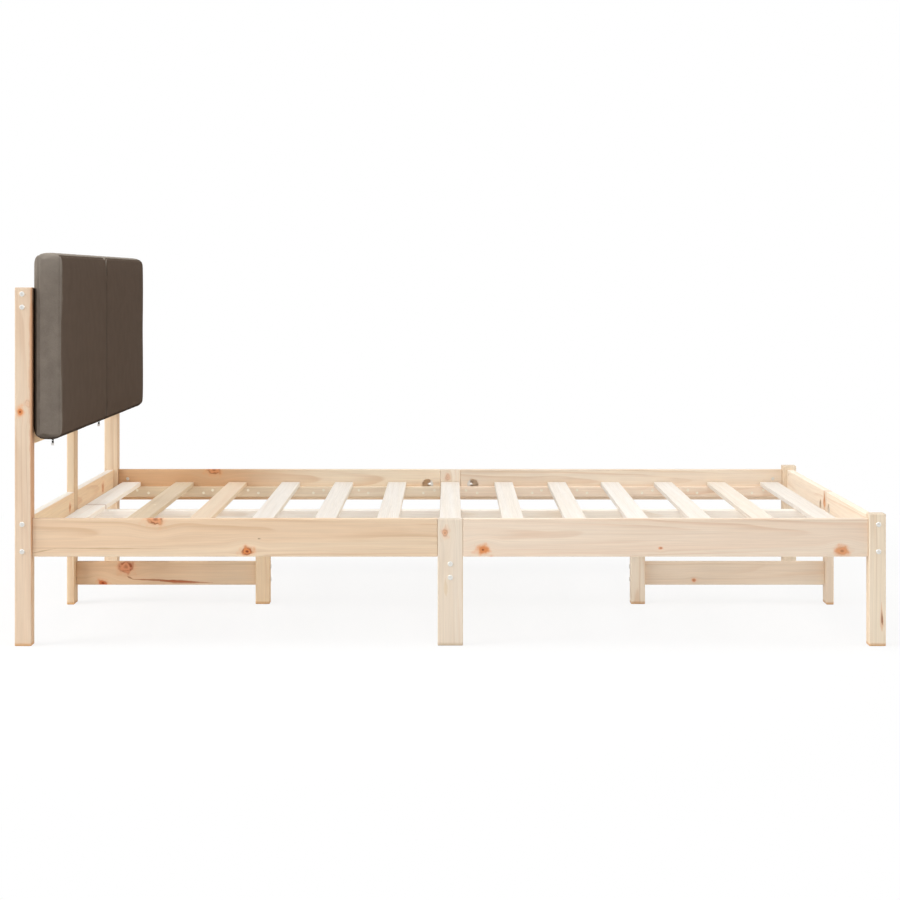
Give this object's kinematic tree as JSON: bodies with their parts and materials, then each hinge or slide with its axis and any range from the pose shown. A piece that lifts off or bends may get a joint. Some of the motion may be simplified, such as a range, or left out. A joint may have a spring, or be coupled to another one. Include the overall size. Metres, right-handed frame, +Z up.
{
  "type": "bed frame",
  "caption": "Low pine double bed frame with a slatted base, split rails, a middle leg frame and two padded headboard cushions.",
  "frame": {"origin": "on the floor, at the middle of the bed", "axes": "+X from the head to the foot along the bed, +Y across it, +Z up"},
  "size_m": [2.0594, 1.4594, 0.9269],
  "materials": {
    "post_pine": "sanded, bare",
    "rail_pine": "sanded, bare",
    "base_pine": "sanded, bare",
    "slat_pine": "sanded, bare",
    "cushion_cloth": "fine plain weave",
    "cushion_foam": "soft foam",
    "cushion_board": "plain plywood",
    "nylon": "moulded nylon",
    "zip_black": "black with a nickel end",
    "nickel_steel": "nickel plated",
    "dowel_beech": "turned"
  },
  "bodies": {
    "bed": {"head_post_near": "post_pine", "head_post_far": "post_pine", "foot_post_near": "post_pine", "foot_post_far": "post_pine", "head_center_post": "post_pine", "foot_center_post": "post_pine", "side_leg_near": "post_pine", "side_leg_far": "post_pine", "side_rail_near_head": "rail_pine", "side_rail_near_foot": "rail_pine", "side_rail_far_head": "rail_pine", "side_rail_far_foot": "rail_pine", "head_rail_near": "rail_pine", "head_rail_far": "rail_pine", "foot_rail_near": "rail_pine", "foot_rail_far": "rail_pine", "head_top_plank_near": "rail_pine", "head_top_plank_far": "rail_pine", "head_low_plank_near": "rail_pine", "head_low_plank_far": "rail_pine", "slat_ledge_near_head": "base_pine", "slat_ledge_near_foot": "base_pine", "slat_ledge_far_head": "base_pine", "slat_ledge_far_foot": "base_pine", "cross_beam": "base_pine", "center_beam_head": "base_pine", "center_beam_foot": "base_pine", "inner_leg_head": "base_pine", "inner_leg_foot": "base_pine", "stretcher_head": "base_pine", "stretcher_foot": "base_pine", "slat_01": "slat_pine", "slat_02": "slat_pine", "slat_03": "slat_pine", "slat_04": "slat_pine", "slat_05": "slat_pine", "slat_06": "slat_pine", "slat_07": "slat_pine", "slat_08": "slat_pine", "slat_09": "slat_pine", "slat_10": "slat_pine", "slat_11": "slat_pine", "slat_12": "slat_pine", "slat_13": "slat_pine", "cushion_cover_near": "cushion_cloth", "cushion_cover_far": "cushion_cloth", "cushion_foams": "cushion_foam", "cushion_panels": "cushion_board", "cushion_spacers": "nylon", "zip_tapes": "zip_black", "connector_bolts": "nickel_steel", "barrel_nuts": "nickel_steel", "joint_studs": "nickel_steel", "joint_nuts": "nickel_steel", "wood_screws": "nickel_steel", "dowels": "dowel_beech"},
    "slider_near": {"zip_slider_near": "zip_black"},
    "slider_far": {"zip_slider_far": "zip_black"},
    "pull_near": {"zip_pull_near": "zip_black"},
    "pull_far": {"zip_pull_far": "zip_black"}
  },
  "joints": [
    {"name": "zip_near_slide", "type": "slide", "parent": "bed", "child": "slider_near", "axis": [0, 1, 0], "range_m": [0, 0.533]},
    {"name": "zip_far_slide", "type": "slide", "parent": "bed", "child": "slider_far", "axis": [0, 1, 0], "range_m": [0, 0.533]},
    {"name": "pull_near_swing", "type": "hinge", "parent": "slider_near", "child": "pull_near", "pos_m": [-0.953, -0.636, 0.4811], "axis": [1, 0, 0], "range_deg": [-70, 70]},
    {"name": "pull_far_swing", "type": "hinge", "parent": "slider_far", "child": "pull_far", "pos_m": [-0.953, 0.089, 0.4811], "axis": [1, 0, 0], "range_deg": [-70, 70]}
  ]
}
